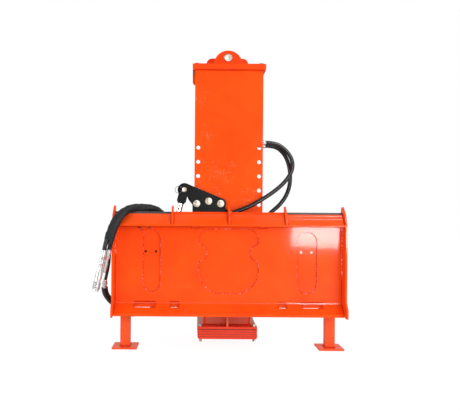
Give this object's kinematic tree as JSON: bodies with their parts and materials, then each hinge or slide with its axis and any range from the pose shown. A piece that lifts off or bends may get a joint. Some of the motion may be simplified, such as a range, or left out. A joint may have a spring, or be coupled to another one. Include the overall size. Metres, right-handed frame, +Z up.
{
  "type": "hydraulic breaker hammer",
  "caption": "Box-housed hydraulic hammer that tilts sideways on a quick-attach frame with a slotted mounting plate, tilt cylinder, hoses, lifting lugs and parking legs.",
  "frame": {"origin": "on the ground, under the middle of the box of the part without its hoses and couplers", "axes": "+X to the right and +Y away from the machine that carries it, +Z up along the hammer"},
  "size_m": [1.2417, 0.529, 1.535],
  "materials": {
    "orange_paint": "glossy powder coat",
    "dark_coating": "satin dark grey",
    "black_paint": "satin black",
    "machined_steel": "machined",
    "dark_bolts": "blackened bolts",
    "chrome": "hard chrome",
    "plated_fittings": "zinc plated",
    "knurled_steel": "yellow passivated",
    "bronze": "bearing bronze",
    "hose_rubber": "matt rubber cover",
    "pad_plastic": "hard polymer",
    "rubber": "moulded rubber"
  },
  "bodies": {
    "carrier": {"qa_plate": "orange_paint", "top_lip": "orange_paint", "end_plates": "orange_paint", "lip_ribs": "orange_paint", "edge_guards": "dark_coating", "top_stiffener": "dark_coating", "backing_plate": "orange_paint", "leg_sockets": "orange_paint", "pivot_hub": "orange_paint", "pivot_pin": "machined_steel", "guide_channel": "orange_paint", "wear_pads": "pad_plastic", "cylinder_lug": "orange_paint", "hose_junction": "black_paint", "junction_adapters": "plated_fittings", "hose_left_a": "hose_rubber", "hose_left_b": "hose_rubber", "hose_tilt": "hose_rubber", "couplers": "plated_fittings"},
    "hammer": {"column_plate": "orange_paint", "centre_rib": "orange_paint", "pivot_boss": "orange_paint", "housing_side_right": "orange_paint", "housing_side_left": "orange_paint", "housing_near": "orange_paint", "housing_far": "orange_paint", "base_flange": "orange_paint", "base_stack": "orange_paint", "housing_bolts": "dark_bolts", "heel_pad": "rubber", "corner_gussets": "orange_paint", "cap_plates": "orange_paint", "lifting_lugs": "orange_paint", "lug_pin": "machined_steel", "crank_bracket": "black_paint", "crank_bolts": "machined_steel", "manifolds": "machined_steel", "front_head": "machined_steel", "tool_bushings": "bronze", "cell_cylinder": "machined_steel", "back_head": "machined_steel", "piston_seals": "pad_plastic", "tie_rods": "machined_steel", "valve_and_accumulator": "black_paint", "dampers": "pad_plastic", "hose_adapters": "plated_fittings", "hose_supply": "hose_rubber", "hose_return": "hose_rubber"},
    "leg_left": {"leg_left": "orange_paint"},
    "leg_right": {"leg_right": "orange_paint"},
    "stop_pin_left": {"stop_pin_left": "machined_steel"},
    "stop_pin_right": {"stop_pin_right": "machined_steel"},
    "tilt_rod": {"tilt_rod": "chrome", "clevis": "black_paint", "clevis_pin": "machined_steel"},
    "tilt_barrel": {"tilt_barrel": "black_paint"},
    "piston": {"piston": "machined_steel"},
    "tool_retainer_left": {"tool_retainer_left": "machined_steel"},
    "tool_retainer_right": {"tool_retainer_right": "machined_steel"},
    "coupler_sleeve": {"coupler_sleeve": "knurled_steel"}
  },
  "joints": [
    {"name": "side_tilt", "type": "hinge", "parent": "carrier", "child": "hammer", "pos_m": [0, -0.1035, 0.46], "axis": [0, 1, 0], "range_deg": [-12, 12]},
    {"name": "rod_pivot", "type": "hinge", "parent": "hammer", "child": "tilt_rod", "pos_m": [-0.2236, -0.1055, 0.7978], "axis": [0, 1, 0], "range_deg": [-6.2, 6.2]},
    {"name": "cylinder_stroke", "type": "slide", "parent": "tilt_rod", "child": "tilt_barrel", "axis": [-0.247, 0, -0.969], "range_m": [-0.064, 0.064]},
    {"name": "leg_left_slide", "type": "slide", "parent": "carrier", "child": "leg_left", "axis": [0, 0, 1], "range_m": [-0.15, 0]},
    {"name": "leg_right_slide", "type": "slide", "parent": "carrier", "child": "leg_right", "axis": [0, 0, 1], "range_m": [-0.15, 0]},
    {"name": "stop_pin_left_pull", "type": "slide", "parent": "carrier", "child": "stop_pin_left", "axis": [-1, 0, 0], "range_m": [0, 0.07]},
    {"name": "stop_pin_right_pull", "type": "slide", "parent": "carrier", "child": "stop_pin_right", "axis": [1, 0, 0], "range_m": [0, 0.07]},
    {"name": "piston_stroke", "type": "slide", "parent": "hammer", "child": "piston", "axis": [0, 0, 1], "range_m": [0, 0.09]},
    {"name": "retainer_left_pull", "type": "slide", "parent": "hammer", "child": "tool_retainer_left", "axis": [0, 1, 0], "range_m": [0, 0.12]},
    {"name": "retainer_right_pull", "type": "slide", "parent": "hammer", "child": "tool_retainer_right", "axis": [0, 1, 0], "range_m": [0, 0.12]},
    {"name": "coupler_sleeve_pull", "type": "slide", "parent": "carrier", "child": "coupler_sleeve", "axis": [0.2026, 0, 0.9793], "range_m": [0, 0.009], "stiffness_N_per_m": 800}
  ],
  "couplings": [
    {"joint": "rod_pivot", "follows": "side_tilt", "ratio": -0.501},
    {"joint": "cylinder_stroke", "follows": "side_tilt", "m_per_rad": 0.2996}
  ]
}
